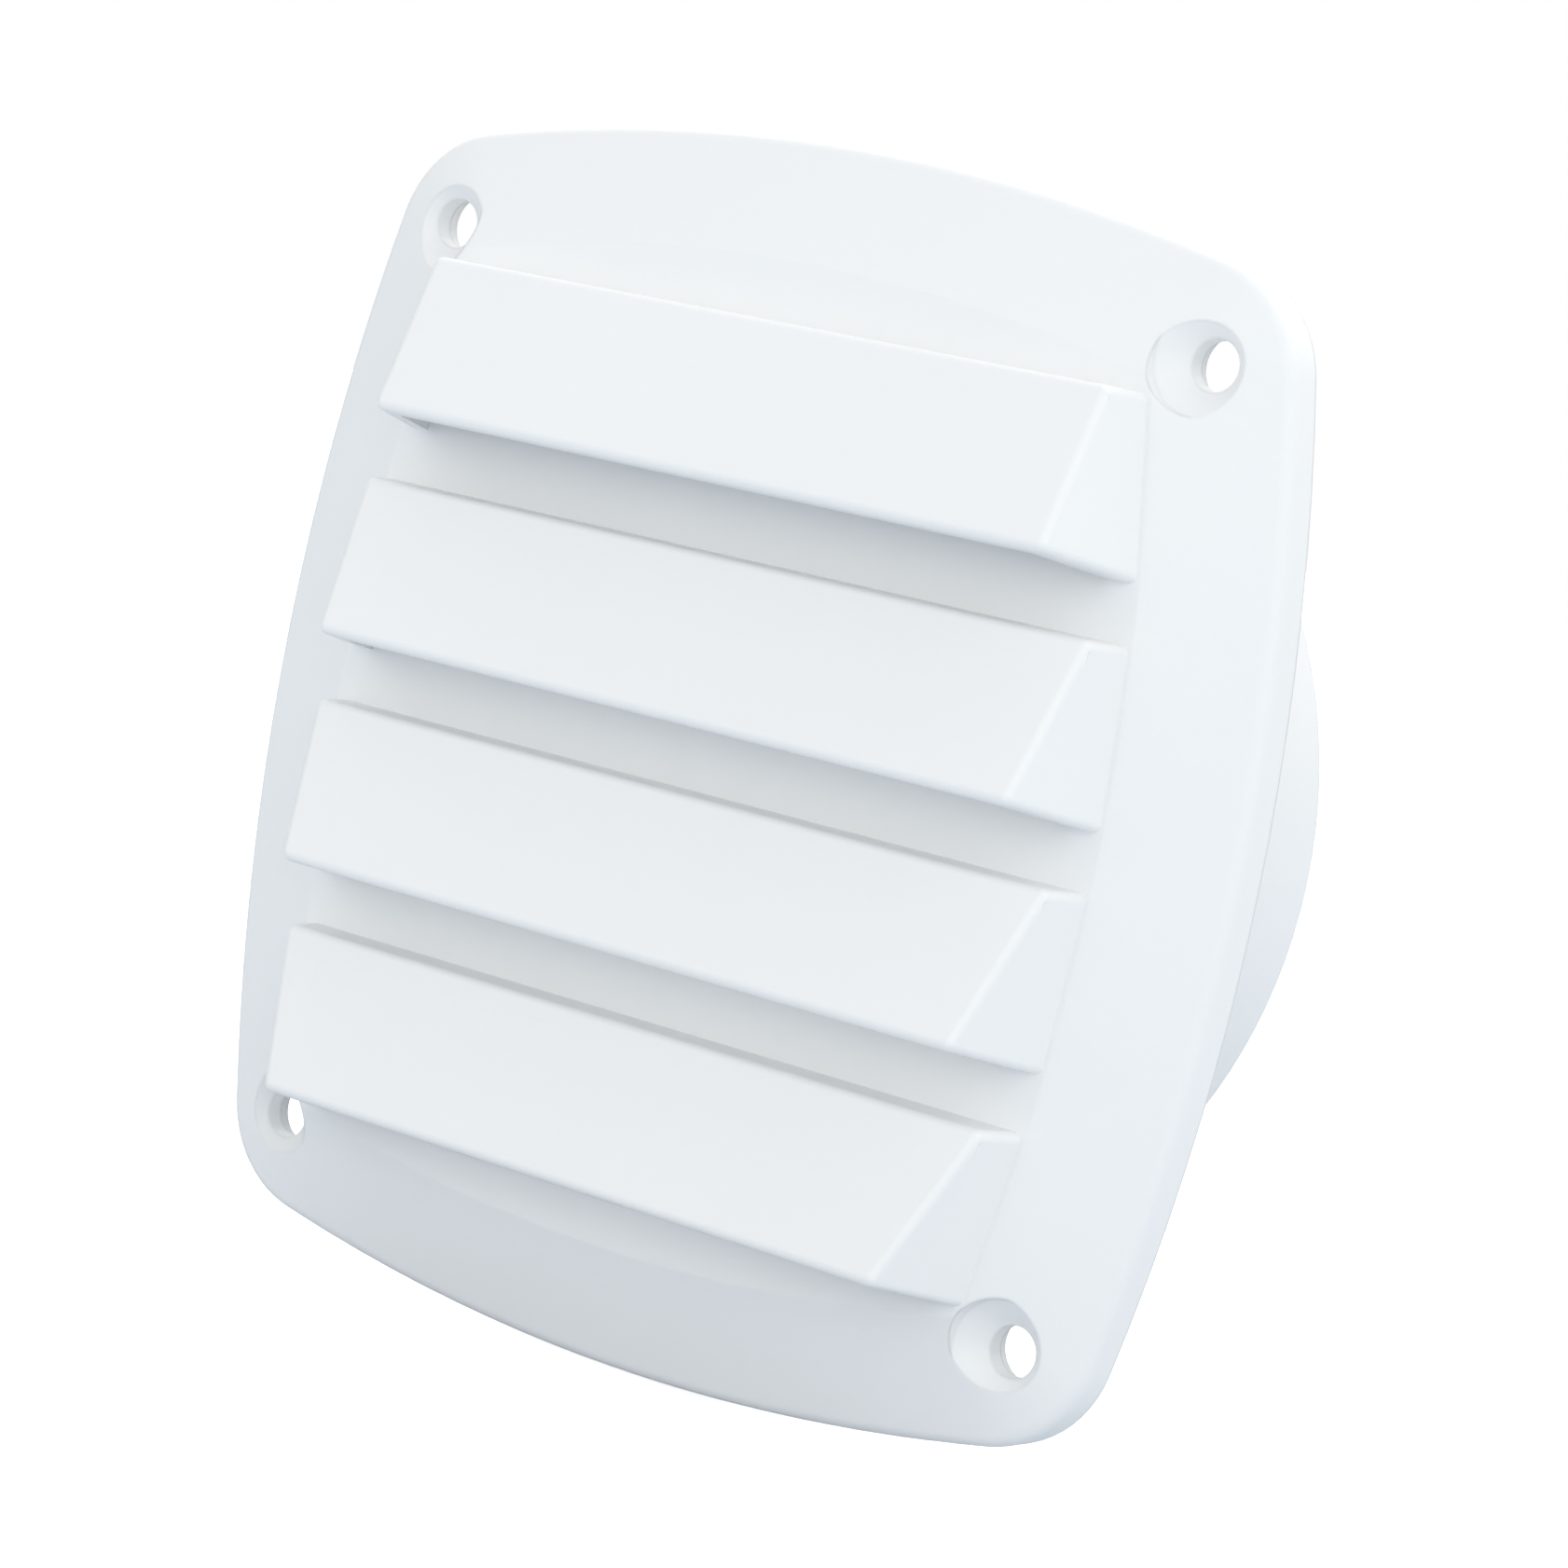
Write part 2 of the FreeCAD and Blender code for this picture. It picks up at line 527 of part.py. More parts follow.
def build_rear_gasket():
    """Die-cut sheet rubber between the flange and the wall, level with the rim."""
    body = new_body("rear_gasket")
    outline = new_sketch(body, "gasket_outline", "XZ_Plane", "0 * Sizes.rim_depth")
    add_pillow(outline, FLANGE_INSET, f"(Sizes.corner_radius - {FLANGE_INSET})")
    add_centred_circle(outline, f"({TUBE_OUTSIDE} + Sizes.gasket_gap)")
    screw_hole = "(Sizes.flange_screw_hole / 2 + Sizes.gasket_hole_gap)"
    stake_hole = "(Sizes.stake_head / 2 + Sizes.gasket_hole_gap)"
    add_four_circles(outline, SCREW_X, SCREW_Z, screw_hole)
    add_four_circles(outline, STAKE_X, STAKE_Z, stake_hole)
    pad(body, outline, FLANGE_BACK)
    return body


def export(pieces):
    """Checks every feature and sub-part, then writes one STEP file per sub-part."""
    doc.recompute()
    failed = [item.Name for item in doc.Objects if {"Invalid", "Error"} & set(item.State)]
    if failed:
        raise RuntimeError(f"features that failed: {failed}")
    for piece in pieces:
        if piece.Shape.isNull() or not piece.Shape.isValid() or piece.Shape.Volume <= 0:
            raise RuntimeError(f"{piece.Label} has no valid solid")
    os.makedirs("parts", exist_ok=True)
    for piece in pieces:
        piece.Shape.exportStep(f"parts/{piece.Label}.step")
        print(f"{piece.Label}: {piece.Shape.Volume / 1000:.2f} cm3")


hoods = [build_hood(index, name) for index, name in enumerate(HOODS)]
export([build_face_plate(), *hoods, build_duct_spigot(), build_insect_screen(),
        build_screen_ring(), build_rear_gasket()])
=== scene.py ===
import bmesh
import bpy
import math
from mathutils import Matrix, Vector


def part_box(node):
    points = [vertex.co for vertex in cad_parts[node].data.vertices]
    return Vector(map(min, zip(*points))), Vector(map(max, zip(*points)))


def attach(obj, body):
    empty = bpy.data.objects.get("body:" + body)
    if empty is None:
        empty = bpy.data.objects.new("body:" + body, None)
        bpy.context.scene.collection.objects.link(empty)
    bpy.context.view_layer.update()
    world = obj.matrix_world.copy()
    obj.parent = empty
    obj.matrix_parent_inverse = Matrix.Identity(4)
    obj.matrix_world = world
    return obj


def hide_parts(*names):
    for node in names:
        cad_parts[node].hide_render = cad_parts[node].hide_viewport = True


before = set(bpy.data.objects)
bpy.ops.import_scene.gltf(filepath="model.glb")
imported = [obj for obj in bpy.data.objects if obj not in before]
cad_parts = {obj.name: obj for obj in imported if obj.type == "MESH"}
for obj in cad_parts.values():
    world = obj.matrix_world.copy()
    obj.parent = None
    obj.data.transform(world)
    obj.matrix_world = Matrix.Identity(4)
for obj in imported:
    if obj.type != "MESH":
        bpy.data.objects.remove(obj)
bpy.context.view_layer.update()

# ---------------------------------------------------------------------------------------------
# Face plate
# The pillow-shaped front, injection moulded in white weather-resistant plastic with its slots,
# screw bosses and stakes in one shot.  The tool is spark eroded, which leaves a very fine, dull
# grain, and the edges of the holes come out softly rounded.
# ---------------------------------------------------------------------------------------------
MM = 0.001
PLATE_WHITE = (0.890, 0.893, 0.888)
PLATE_ROUGHNESS = 0.40
PLASTIC_IOR = 1.49
SPARK_GRAIN = 0.32 * MM
SPARK_DEPTH = 0.011 * MM
SPARK_LEVELS = 3.0
SPARK_HARSHNESS = 0.62
FLOW_MARKS = 34 * MM
FLOW_LEVELS = 2.0
FLOW_SWIRL = 0.6
EDGE_ROUND = 0.6 * MM
EDGE_SAMPLES = 6


def add_node(tree, kind, place, **settings):
    """A shader node at a place in the tree, with its settings and its unlinked inputs."""
    node = tree.nodes.new(kind)
    node.location = place
    for name, value in settings.items():
        if name in node.inputs:
            node.inputs[name].default_value = value
        else:
            setattr(node, name, value)
    return node


def new_group(name, inputs, outputs):
    """An empty shader node group with its named sockets."""
    tree = bpy.data.node_groups.new(name, "ShaderNodeTree")
    for socket, (kind, value) in inputs.items():
        made = tree.interface.new_socket(name=socket, in_out="INPUT", socket_type=kind)
        if value is not None:
            made.default_value = value
    for socket, kind in outputs.items():
        tree.interface.new_socket(name=socket, in_out="OUTPUT", socket_type=kind)
    return tree


def spark_eroded_group():
    """Fine spark-eroded grain, soft edges and the faint flow marks of a large moulding."""
    tree = new_group(
        "spark_eroded_grain",
        {
            "Place": ("NodeSocketVector", None),
            "Grain size": ("NodeSocketFloat", SPARK_GRAIN),
            "Grain depth": ("NodeSocketFloat", SPARK_DEPTH),
            "Edge round": ("NodeSocketFloat", EDGE_ROUND),
            "Flow size": ("NodeSocketFloat", FLOW_MARKS),
            "White": ("NodeSocketColor", (1, 1, 1, 1)),
            "Shade": ("NodeSocketFloat", 0.02),
            "Roughness": ("NodeSocketFloat", PLATE_ROUGHNESS),
            "Roughness spread": ("NodeSocketFloat", 0.06),
        },
        {"Color": "NodeSocketColor", "Roughness": "NodeSocketFloat", "Normal": "NodeSocketVector"},
    )
    links = tree.links
    given = add_node(tree, "NodeGroupInput", (-900, 0))
    made = add_node(tree, "NodeGroupOutput", (700, 0))

    rates = []
    for size, height in (("Grain size", 200), ("Flow size", -200)):
        rate = add_node(tree, "ShaderNodeMath", (-700, height), operation="DIVIDE")
        rate.inputs[0].default_value = 1.0
        links.new(given.outputs[size], rate.inputs[1])
        rates.append(rate.outputs[0])
    grain_rate, flow_rate = rates

    pits = add_node(
        tree, "ShaderNodeTexNoise", (-480, 300), Detail=SPARK_LEVELS, Roughness=SPARK_HARSHNESS
    )
    links.new(given.outputs["Place"], pits.inputs["Vector"])
    links.new(grain_rate, pits.inputs["Scale"])
    flow = add_node(
        tree, "ShaderNodeTexNoise", (-480, -100), Detail=FLOW_LEVELS, Distortion=FLOW_SWIRL
    )
    links.new(given.outputs["Place"], flow.inputs["Vector"])
    links.new(flow_rate, flow.inputs["Scale"])

    edge = add_node(tree, "ShaderNodeBevel", (200, 450), samples=EDGE_SAMPLES)
    links.new(given.outputs["Edge round"], edge.inputs["Radius"])
    bump = add_node(tree, "ShaderNodeBump", (450, 300), Strength=1.0)
    links.new(edge.outputs["Normal"], bump.inputs["Normal"])
    links.new(given.outputs["Grain depth"], bump.inputs["Distance"])
    links.new(pits.outputs["Fac"], bump.inputs["Height"])
    links.new(bump.outputs["Normal"], made.inputs["Normal"])

    shade = add_node(tree, "ShaderNodeMath", (-250, -100), operation="MULTIPLY")
    links.new(flow.outputs["Fac"], shade.inputs[0])
    links.new(given.outputs["Shade"], shade.inputs[1])
    lightness = add_node(tree, "ShaderNodeMath", (-50, -100), operation="SUBTRACT")
    lightness.inputs[0].default_value = 1.0
    links.new(shade.outputs[0], lightness.inputs[1])
    tinted = add_node(tree, "ShaderNodeVectorMath", (200, -100), operation="SCALE")
    links.new(given.outputs["White"], tinted.inputs[0])
    links.new(lightness.outputs[0], tinted.inputs["Scale"])
    links.new(tinted.outputs[0], made.inputs["Color"])

    spread = add_node(tree, "ShaderNodeMath", (-50, 100), operation="MULTIPLY_ADD")
    links.new(pits.outputs["Fac"], spread.inputs[0])
    links.new(given.outputs["Roughness spread"], spread.inputs[1])
    links.new(given.outputs["Roughness"], spread.inputs[2])
    links.new(spread.outputs[0], made.inputs["Roughness"])
    return tree


SPARK_ERODED = spark_eroded_group()


def new_material(name):
    """A node material with only its shader and output, and the shader."""
    material = bpy.data.materials.new(name)
    material.use_nodes = True
    tree = material.node_tree
    tree.nodes.clear()
    surface = add_node(tree, "ShaderNodeOutputMaterial", (500, 0))
    shader = add_node(tree, "ShaderNodeBsdfPrincipled", (200, 0))
    tree.links.new(shader.outputs["BSDF"], surface.inputs["Surface"])
    return material, shader


def moulded_plastic(name, white, roughness, **grain):
    """White moulded plastic with the spark-eroded grain at its own settings."""
    material, shader = new_material(name)
    tree = material.node_tree
    shader.inputs["IOR"].default_value = PLASTIC_IOR
    place = add_node(tree, "ShaderNodeTexCoord", (-500, 0))
    surface = add_node(tree, "ShaderNodeGroup", (-200, 0), node_tree=SPARK_ERODED)
    surface.inputs["White"].default_value = (*white, 1)
    surface.inputs["Roughness"].default_value = roughness
    for socket, value in grain.items():
        surface.inputs[socket.replace("_", " ").capitalize()].default_value = value
    tree.links.new(place.outputs["Object"], surface.inputs["Place"])
    tree.links.new(surface.outputs["Color"], shader.inputs["Base Color"])
    tree.links.new(surface.outputs["Roughness"], shader.inputs["Roughness"])
    tree.links.new(surface.outputs["Normal"], shader.inputs["Normal"])
    return material


def dress(node, material):
    """Gives a CAD node its material."""
    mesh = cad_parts[node].data
    mesh.materials.clear()
    mesh.materials.append(material)


plate_plastic = moulded_plastic("grained_white_plastic", PLATE_WHITE, PLATE_ROUGHNESS)
dress("face_plate", plate_plastic)

# ---------------------------------------------------------------------------------------------
# Louvre hoods
# Four rain hoods of the same white plastic, plugged into the slots of the face plate by their
# tongues and welded there.  They are moulded in their own tool, with the same dull grain.  Their
# ridges are rounded in the solid itself.
# ---------------------------------------------------------------------------------------------
HOODS = ["top_louvre_hood", "upper_louvre_hood", "lower_louvre_hood", "bottom_louvre_hood"]
HOOD_WHITE = (0.894, 0.896, 0.891)
HOOD_ROUGHNESS = 0.38
HOOD_GRAIN_DEPTH = 0.009 * MM
HOOD_EDGE_ROUND = 0.0

hood_plastic = moulded_plastic(
    "hood_white_plastic", HOOD_WHITE, HOOD_ROUGHNESS,
    grain_depth=HOOD_GRAIN_DEPTH, edge_round=HOOD_EDGE_ROUND,
)
for hood in HOODS:
    dress(hood, hood_plastic)

# ---------------------------------------------------------------------------------------------
# Duct spigot
# The hose tube and its flange, moulded in the same plastic from a polished tool, so it is
# smoother and a little shinier than the front.  Four stakes of the plate are flattened over it.
# ---------------------------------------------------------------------------------------------
SPIGOT_WHITE = (0.884, 0.888, 0.884)
SPIGOT_ROUGHNESS = 0.34
SPIGOT_ROUGHNESS_SPREAD = 0.04
SPIGOT_GRAIN_DEPTH = 0.003 * MM

spigot_plastic = moulded_plastic(
    "smooth_white_plastic", SPIGOT_WHITE, SPIGOT_ROUGHNESS,
    grain_depth=SPIGOT_GRAIN_DEPTH, roughness_spread=SPIGOT_ROUGHNESS_SPREAD,
)
dress("duct_spigot", spigot_plastic)

# ---------------------------------------------------------------------------------------------
# Insect screen
# Grey woven mesh of coated glass yarn, cut to a disc and welded into a thin plastic hem.  It
# drops into the tube and rests on the ledge.  It stands for the coarser CAD screen.
# ---------------------------------------------------------------------------------------------
COATING_GREY = (0.125, 0.130, 0.135)
COATING_WORN = (0.070, 0.073, 0.078)
YARN_PITCH = 1.9 * MM
YARN_RADIUS = 0.17 * MM
YARN_SIDES = 6
YARN_TWIST = 0.55 * MM
YARN_RIDGE = 0.03 * MM
TWIST_WANDER = 1.5
COATING_LUMPS = 0.8 * MM
COATING_ROUGHNESS = (0.42, 0.68)
NOISE_LEVELS = 4.0
HEM_STEPS = 96
SHARP_ANGLE = math.radians(70)
MIX_FIRST, MIX_SECOND, MIX_RESULT = 6, 7, 2  # colour sockets of a Mix node
HEM_WIDTH = 2.4 * MM
screen_low, screen_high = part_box("insect_screen")
screen_middle = (screen_low + screen_high) / 2
screen_radius = (screen_high.x - screen_low.x) / 2
screen_half_thickness = (screen_high.y - screen_low.y) / 2


def finished(name, shape, material):
    """A piece made from a bmesh: faces outward and smooth, real corners sharp, and its material."""
    bmesh.ops.recalc_face_normals(shape, faces=shape.faces)
    for face in shape.faces:
        face.smooth = True
    for edge in shape.edges:
        edge.smooth = edge.calc_face_angle(0) < SHARP_ANGLE
    mesh = bpy.data.meshes.new(name)
    shape.to_mesh(mesh)
    shape.free()
    mesh.materials.append(material)
    piece = bpy.data.objects.new(name, mesh)
    bpy.context.scene.collection.objects.link(piece)
    return piece


def long_yarn():
    """A crimped yarn along X, longer than any in the disc, over and under at every pitch."""
    steps = 2 * (int(screen_radius / YARN_PITCH) + 2)
    shape = bmesh.new()
    heights = (1, 0, -1, 0)
    start = Vector((-steps * YARN_PITCH / 2, heights[-steps % 4] * YARN_RADIUS, 0))
    bmesh.ops.create_circle(
        shape, segments=YARN_SIDES, radius=YARN_RADIUS,
        matrix=Matrix.Translation(start) @ Matrix.Rotation(math.pi / 2, 4, "Y"),
    )
    rim = shape.edges[:]
    for step in range(1 - steps, steps + 1):
        rise = (heights[step % 4] - heights[(step - 1) % 4]) * YARN_RADIUS
        grown = bmesh.ops.extrude_edge_only(shape, edges=rim)["geom"]
        fresh = [item for item in grown if isinstance(item, bmesh.types.BMVert)]
        rim = [item for item in grown if isinstance(item, bmesh.types.BMEdge)]
        bmesh.ops.translate(shape, verts=fresh, vec=(YARN_PITCH / 2, rise, 0))
    mesh = bpy.data.meshes.new("yarn")
    shape.to_mesh(mesh)
    shape.free()
    return mesh


def woven_mesh():
    """The disc of woven yarn: each row and each column is the long yarn, cut to the disc."""
    whole_yarn = long_yarn()
    cut_yarn = bpy.data.meshes.new("cut_yarn")
    disc = bmesh.new()
    reach = screen_radius - HEM_WIDTH / 2
    count = int(reach / YARN_PITCH)
    for turned in (False, True):
        for row in range(-count, count + 1):
            half = math.sqrt(reach ** 2 - (row * YARN_PITCH) ** 2)
            strand = bmesh.new()
            strand.from_mesh(whole_yarn)
            for side in (1, -1):
                bmesh.ops.bisect_plane(
                    strand, geom=strand.verts[:] + strand.edges[:] + strand.faces[:],
                    plane_co=(side * half, 0, 0), plane_no=(side, 0, 0), clear_outer=True,
                )
            bmesh.ops.holes_fill(strand, edges=strand.edges, sides=YARN_SIDES)
            over = 1 if (row + turned) % 2 else -1
            bmesh.ops.scale(strand, verts=strand.verts, vec=(1, over, 1))
            bmesh.ops.translate(strand, verts=strand.verts, vec=(0, 0, row * YARN_PITCH))
            quarter_turn = Matrix.Rotation(math.pi / 2 if turned else 0, 4, "Y")
            bmesh.ops.transform(
                strand, verts=strand.verts, matrix=Matrix.Translation(screen_middle) @ quarter_turn,
            )
            strand.to_mesh(cut_yarn)
            strand.free()
            disc.from_mesh(cut_yarn)
    return disc


def screen_hem(shape):
    """The flat ring that the yarns are welded into."""
    inner = screen_radius - HEM_WIDTH
    profile = [
        shape.verts.new(screen_middle + Vector((radius, side * screen_half_thickness, 0)))
        for radius, side in ((inner, -1), (screen_radius, -1), (screen_radius, 1), (inner, 1))
    ]
    loop = [shape.edges.new((profile[k - 1], profile[k])) for k in range(4)]
    bmesh.ops.spin(
        shape, geom=profile + loop, cent=screen_middle, axis=(0, 1, 0), dvec=(0, 0, 0),
        angle=math.tau, steps=HEM_STEPS, use_merge=True, use_duplicate=False,
    )


def tinted_noise(tree, vector, size, dark, light):
    """A noise of one size, and the colour that runs from dark to light with it."""
    noise = add_node(tree, "ShaderNodeTexNoise", (-500, 0), Scale=1 / size, Detail=NOISE_LEVELS)
    tree.links.new(vector, noise.inputs["Vector"])
    tint = add_node(tree, "ShaderNodeMix", (-250, 150), data_type="RGBA")
    tint.inputs[MIX_FIRST].default_value = (*dark, 1)
    tint.inputs[MIX_SECOND].default_value = (*light, 1)
    tree.links.new(noise.outputs["Fac"], tint.inputs[0])
    return noise.outputs["Fac"], tint.outputs[MIX_RESULT]


def add_relief(tree, shader, height, depth):
    """Bumps the shader's normal by a height field of a real depth."""
    relief = add_node(tree, "ShaderNodeBump", (0, -300), Strength=1.0, Distance=depth)
    tree.links.new(height, relief.inputs["Height"])
    tree.links.new(relief.outputs["Normal"], shader.inputs["Normal"])


def add_roughness(tree, shader, mask, limits):
    """Runs the shader's roughness between two limits with a mask."""
    spread = add_node(tree, "ShaderNodeMapRange", (-250, -100))
    spread.inputs["To Min"].default_value, spread.inputs["To Max"].default_value = limits
    tree.links.new(mask, spread.inputs["Value"])
    tree.links.new(spread.outputs["Result"], shader.inputs["Roughness"])


def coated_yarn():
    """Twisted glass yarn under a lumpy grey vinyl coating, worn darker in patches."""
    material, shader = new_material("coated_yarn")
    tree = material.node_tree
    place = add_node(tree, "ShaderNodeTexCoord", (-900, 0)).outputs["Object"]
    lumps, tint = tinted_noise(tree, place, COATING_LUMPS, COATING_WORN, COATING_GREY)
    twist = add_node(tree, "ShaderNodeTexWave", (-500, -350), bands_direction="DIAGONAL")
    twist.inputs["Scale"].default_value = 1 / YARN_TWIST
    twist.inputs["Distortion"].default_value = TWIST_WANDER
    tree.links.new(place, twist.inputs["Vector"])
    tree.links.new(tint, shader.inputs["Base Color"])
    add_roughness(tree, shader, lumps, COATING_ROUGHNESS)
    add_relief(tree, shader, twist.outputs["Fac"], YARN_RIDGE)
    return material


screen_shape = woven_mesh()
screen_hem(screen_shape)
woven_screen = finished("woven_insect_screen", screen_shape, coated_yarn())
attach(woven_screen, "root")
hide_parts("insect_screen")

# ---------------------------------------------------------------------------------------------
# Screen ring
# A split ring moulded in springy white acetal.  It is squeezed, pushed into the tube behind the
# screen, and holds it against the ledge by its own spring.
# ---------------------------------------------------------------------------------------------
ACETAL_WHITE = (0.80, 0.81, 0.81)
ACETAL_ROUGHNESS = 0.36
ACETAL_ROUGHNESS_SPREAD = 0.05
ACETAL_GRAIN_DEPTH = 0.002 * MM
ACETAL_SHADE = 0.03

ring_plastic = moulded_plastic(
    "acetal", ACETAL_WHITE, ACETAL_ROUGHNESS,
    grain_depth=ACETAL_GRAIN_DEPTH, roughness_spread=ACETAL_ROUGHNESS_SPREAD, shade=ACETAL_SHADE,
)
dress("screen_ring", ring_plastic)

# ---------------------------------------------------------------------------------------------
# Rear gasket
# Black sheet rubber, one millimetre thick, die cut to the flange with holes for the screws and
# the stake heads, and stuck to the back of the flange.
# ---------------------------------------------------------------------------------------------
RUBBER_BLACK = (0.018, 0.018, 0.020)
RUBBER_BLOOM = (0.060, 0.060, 0.063)
BLOOM_SIZE = 14 * MM
SKIN_SIZE = 0.25 * MM
SKIN_DEPTH = 0.012 * MM
SKIN_LEVELS = 2.0
RUBBER_ROUGHNESS = (0.60, 0.85)
CALENDER_STRETCH = (1.0, 1.0, 0.3)


def calendered_rubber():
    """Black rubber drawn through rollers: a fine skin, drawn out upwards, and a chalky bloom."""
    material, shader = new_material("sheet_rubber")
    tree = material.node_tree
    place = add_node(tree, "ShaderNodeTexCoord", (-1100, 0)).outputs["Object"]
    drawn = add_node(tree, "ShaderNodeMapping", (-850, 0), Scale=CALENDER_STRETCH)
    tree.links.new(place, drawn.inputs["Vector"])
    sheet = drawn.outputs["Vector"]
    bloom, tint = tinted_noise(tree, sheet, BLOOM_SIZE, RUBBER_BLACK, RUBBER_BLOOM)
    skin = add_node(
        tree, "ShaderNodeTexNoise", (-500, -350), Scale=1 / SKIN_SIZE, Detail=SKIN_LEVELS
    )
    tree.links.new(sheet, skin.inputs["Vector"])
    tree.links.new(tint, shader.inputs["Base Color"])
    add_roughness(tree, shader, bloom, RUBBER_ROUGHNESS)
    add_relief(tree, shader, skin.outputs["Fac"], SKIN_DEPTH)
    return material


dress("rear_gasket", calendered_rubber())

# ---------------------------------------------------------------------------------------------
# Camera
# A long lens, a little above the middle of the part and to its left.  The camera is rolled, so
# the part leans as if it rested on its lower right corner.
# ---------------------------------------------------------------------------------------------
AZIMUTH = math.radians(33.85)
ELEVATION = math.radians(4.85)
ROLL = math.radians(11.28)
DISTANCE = 473.516 * MM
SLIDE_RIGHT = 3.171 * MM
SLIDE_UP = -1.912 * MM
SENSOR = 36.0
LENS = 110.44
NEAREST = 10 * MM
FARTHEST = 20.0

look = Vector((
    -math.sin(AZIMUTH) * math.cos(ELEVATION),
    math.cos(AZIMUTH) * math.cos(ELEVATION),
    -math.sin(ELEVATION),
))
level_right = Vector((math.cos(AZIMUTH), math.sin(AZIMUTH), 0))
level_up = level_right.cross(look)
right = math.cos(ROLL) * level_right + math.sin(ROLL) * level_up
up = -math.sin(ROLL) * level_right + math.cos(ROLL) * level_up
camera_data = bpy.data.cameras.new("camera")
camera_data.sensor_width = SENSOR
camera_data.lens = LENS
camera_data.clip_start = NEAREST
camera_data.clip_end = FARTHEST
camera = bpy.data.objects.new("camera", camera_data)
camera_place = -DISTANCE * look + SLIDE_RIGHT * right + SLIDE_UP * up
camera.matrix_world = Matrix((
    (right.x, up.x, -look.x, camera_place.x),
    (right.y, up.y, -look.y, camera_place.y),
    (right.z, up.z, -look.z, camera_place.z),
    (0, 0, 0, 1),
))
bpy.context.scene.collection.objects.link(camera)
bpy.context.scene.camera = camera

# ---------------------------------------------------------------------------------------------
# Floor and lights
# A plain white floor that glows a little from below, and the softboxes of a light tent all round
# it.  The camera sees the tent as plain white and the floor as bright enough to meet it without a
# line; light from the part's surroundings is slightly blue.
# ---------------------------------------------------------------------------------------------
FLOOR_SIZE = 8.0
FLOOR_DROP = 0.3 * MM
FLOOR_WHITE = (0.9, 0.9, 0.9, 1)
FLOOR_BOUNCE = (0.45, 0.50, 0.56, 1)
FLOOR_SEEN_GLOW = 0.75
FLOOR_UNSEEN_GLOW = 0.10
TENT_WHITE = (1, 1, 1, 1)
SOFTBOX_WHITE = (0.968, 0.984, 0.992, 1)
SOFTBOX_FALLOFF = 4
SOFTBOXES = [
    # azimuth from the front towards the right, elevation, strength
    (-35, 8, 1.24),
    (10, 8, 1.03),
    (55, 8, 1.36),
    (100, 8, 0.28),
    (150, 8, 0.32),
    (-130, 8, 0.62),
    (120, 50, 1.28),
    (-150, 50, 1.95),
]

plate_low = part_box("face_plate")[0]
floor_shape = bmesh.new()
bmesh.ops.create_grid(
    floor_shape, x_segments=1, y_segments=1, size=FLOOR_SIZE / 2,
    matrix=Matrix.Translation((0, 0, plate_low.z - FLOOR_DROP)),
)
floor_material, floor_shader = new_material("floor")
floor_tree = floor_material.node_tree
floor_ray = add_node(floor_tree, "ShaderNodeLightPath", (-400, 0))
floor_tone = add_node(floor_tree, "ShaderNodeMix", (-150, 100), data_type="RGBA")
floor_tone.inputs[MIX_FIRST].default_value = FLOOR_BOUNCE
floor_tone.inputs[MIX_SECOND].default_value = FLOOR_WHITE
floor_glow = add_node(floor_tree, "ShaderNodeMapRange", (-150, -200))
floor_glow.inputs["To Min"].default_value = FLOOR_UNSEEN_GLOW
floor_glow.inputs["To Max"].default_value = FLOOR_SEEN_GLOW
floor_shader.inputs["Roughness"].default_value = 1.0
floor_shader.inputs["Specular IOR Level"].default_value = 0.0
floor_shader.inputs["Emission Color"].default_value = (1, 1, 1, 1)
floor_tree.links.new(floor_ray.outputs["Is Camera Ray"], floor_tone.inputs[0])
floor_tree.links.new(floor_tone.outputs[MIX_RESULT], floor_shader.inputs["Base Color"])
floor_tree.links.new(floor_ray.outputs["Is Camera Ray"], floor_glow.inputs["Value"])
floor_tree.links.new(floor_glow.outputs["Result"], floor_shader.inputs["Emission Strength"])
floor = finished("floor", floor_shape, floor_material)


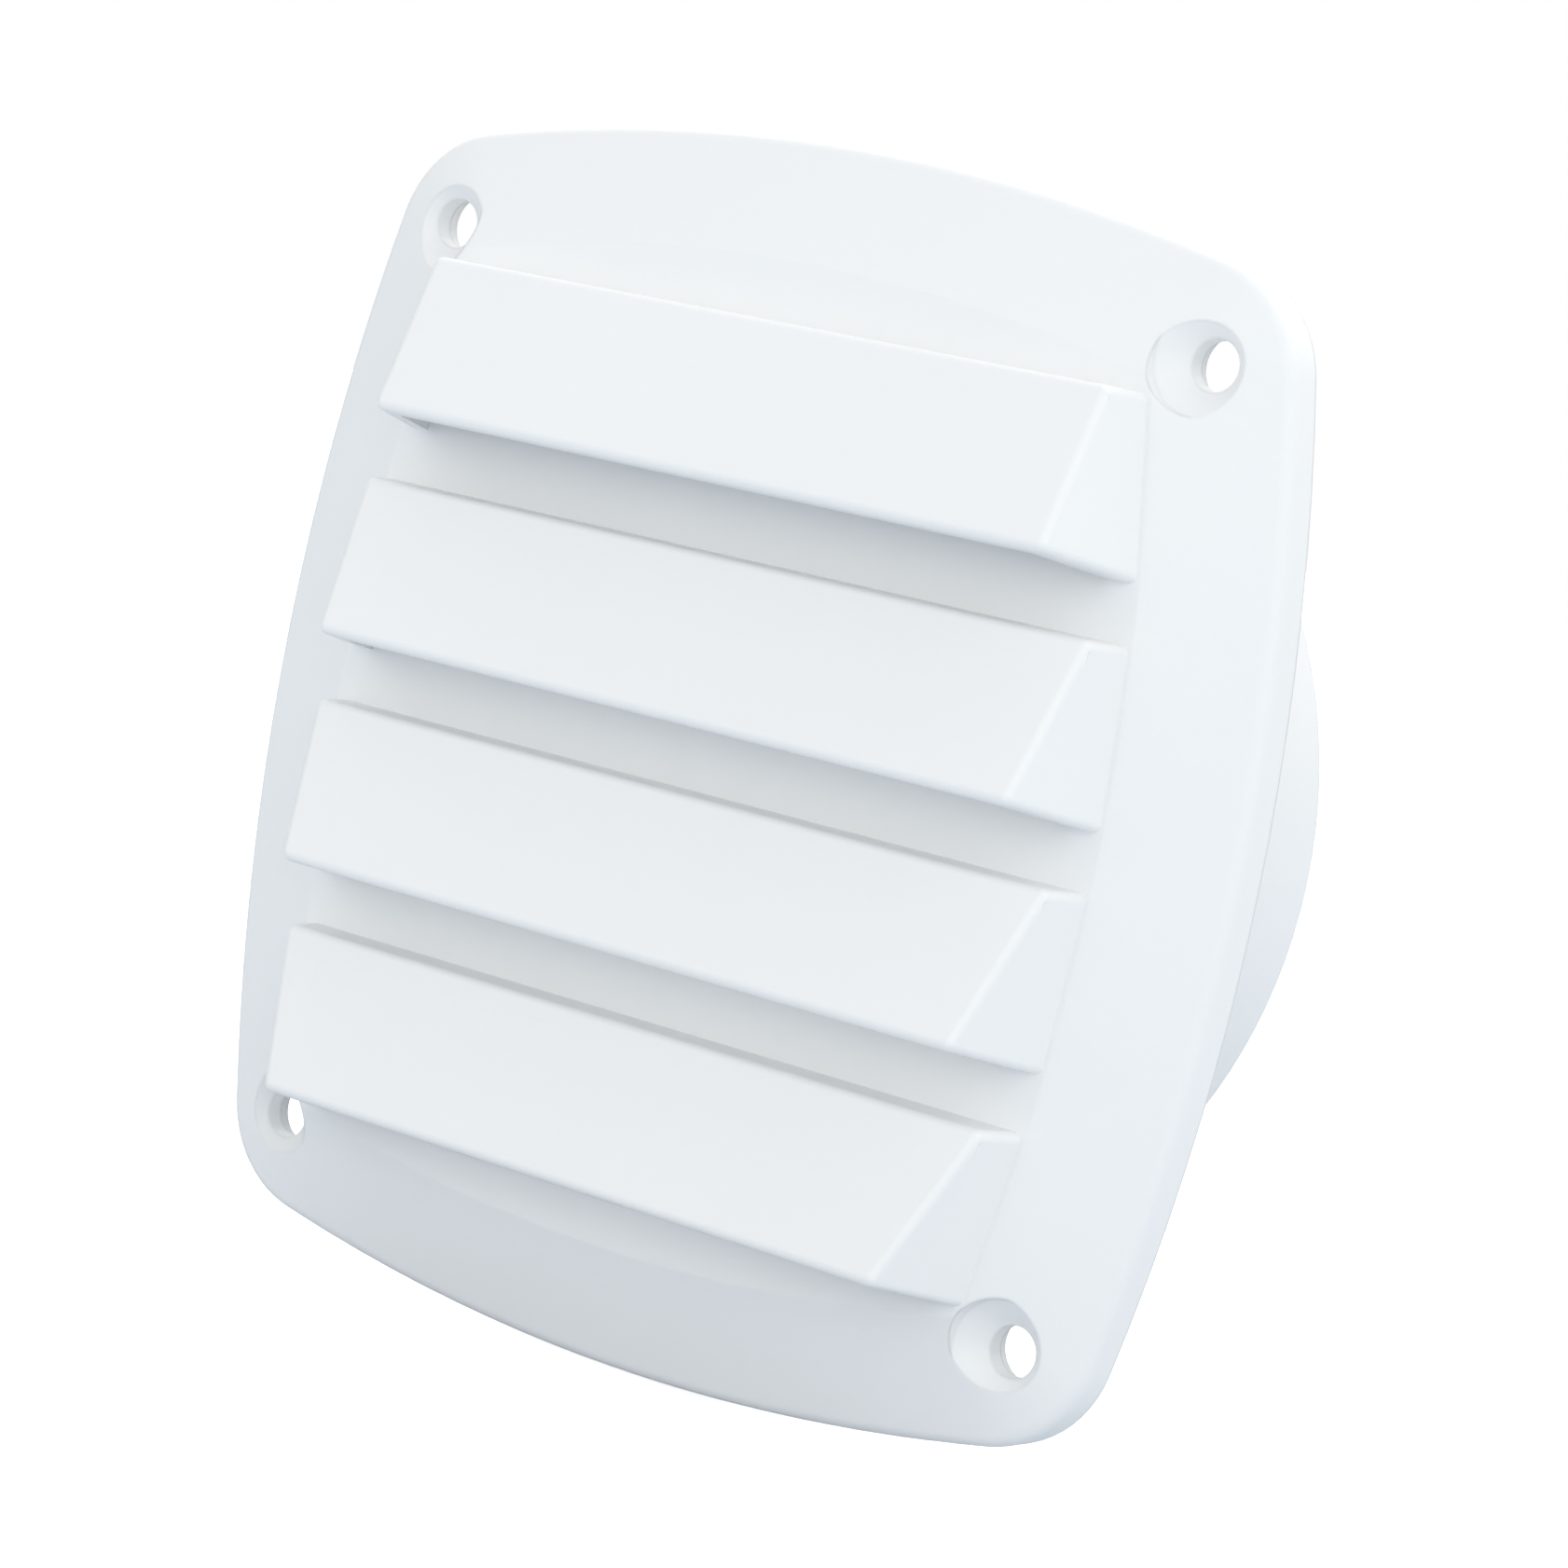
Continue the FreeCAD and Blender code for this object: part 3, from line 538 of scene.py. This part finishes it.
def softbox(tree, direction, azimuth, elevation, strength):
    """The brightness that one softbox gives a direction of the tent."""
    turn, rise = math.radians(azimuth), math.radians(elevation)
    aim = (math.sin(turn) * math.cos(rise), -math.cos(turn) * math.cos(rise), math.sin(rise))
    facing = add_node(tree, "ShaderNodeVectorMath", (-600, 0), operation="DOT_PRODUCT")
    facing.inputs[1].default_value = aim
    tree.links.new(direction, facing.inputs[0])
    ahead = add_node(tree, "ShaderNodeMath", (-450, 0), operation="MAXIMUM")
    tree.links.new(facing.outputs["Value"], ahead.inputs[0])
    ahead.inputs[1].default_value = 0.0
    soft = add_node(tree, "ShaderNodeMath", (-300, 0), operation="POWER")
    tree.links.new(ahead.outputs[0], soft.inputs[0])
    soft.inputs[1].default_value = SOFTBOX_FALLOFF
    bright = add_node(tree, "ShaderNodeMath", (-150, 0), operation="MULTIPLY")
    tree.links.new(soft.outputs[0], bright.inputs[0])
    bright.inputs[1].default_value = strength
    return bright.outputs[0]


world = bpy.data.worlds.new("light_tent")
world.use_nodes = True
bpy.context.scene.world = world
tent = world.node_tree
tent.nodes.clear()
tent_direction = add_node(tent, "ShaderNodeTexCoord", (-800, 0)).outputs["Generated"]
tent_light = None
for azimuth, elevation, strength in SOFTBOXES:
    box_light = softbox(tent, tent_direction, azimuth, elevation, strength)
    if tent_light is None:
        tent_light = box_light
        continue
    total = add_node(tent, "ShaderNodeMath", (0, 0), operation="ADD")
    tent.links.new(tent_light, total.inputs[0])
    tent.links.new(box_light, total.inputs[1])
    tent_light = total.outputs[0]
lighting = add_node(tent, "ShaderNodeBackground", (200, 100), Color=SOFTBOX_WHITE)
tent.links.new(tent_light, lighting.inputs["Strength"])
backdrop = add_node(tent, "ShaderNodeBackground", (200, -100), Color=TENT_WHITE)
pick = add_node(tent, "ShaderNodeMixShader", (400, 0))
tent_ray = add_node(tent, "ShaderNodeLightPath", (0, 300))
tent_out = add_node(tent, "ShaderNodeOutputWorld", (600, 0))
tent.links.new(tent_ray.outputs["Is Camera Ray"], pick.inputs["Fac"])
tent.links.new(lighting.outputs[0], pick.inputs[1])
tent.links.new(backdrop.outputs[0], pick.inputs[2])
tent.links.new(pick.outputs[0], tent_out.inputs["Surface"])
bpy.context.scene.view_settings.view_transform = "Standard"
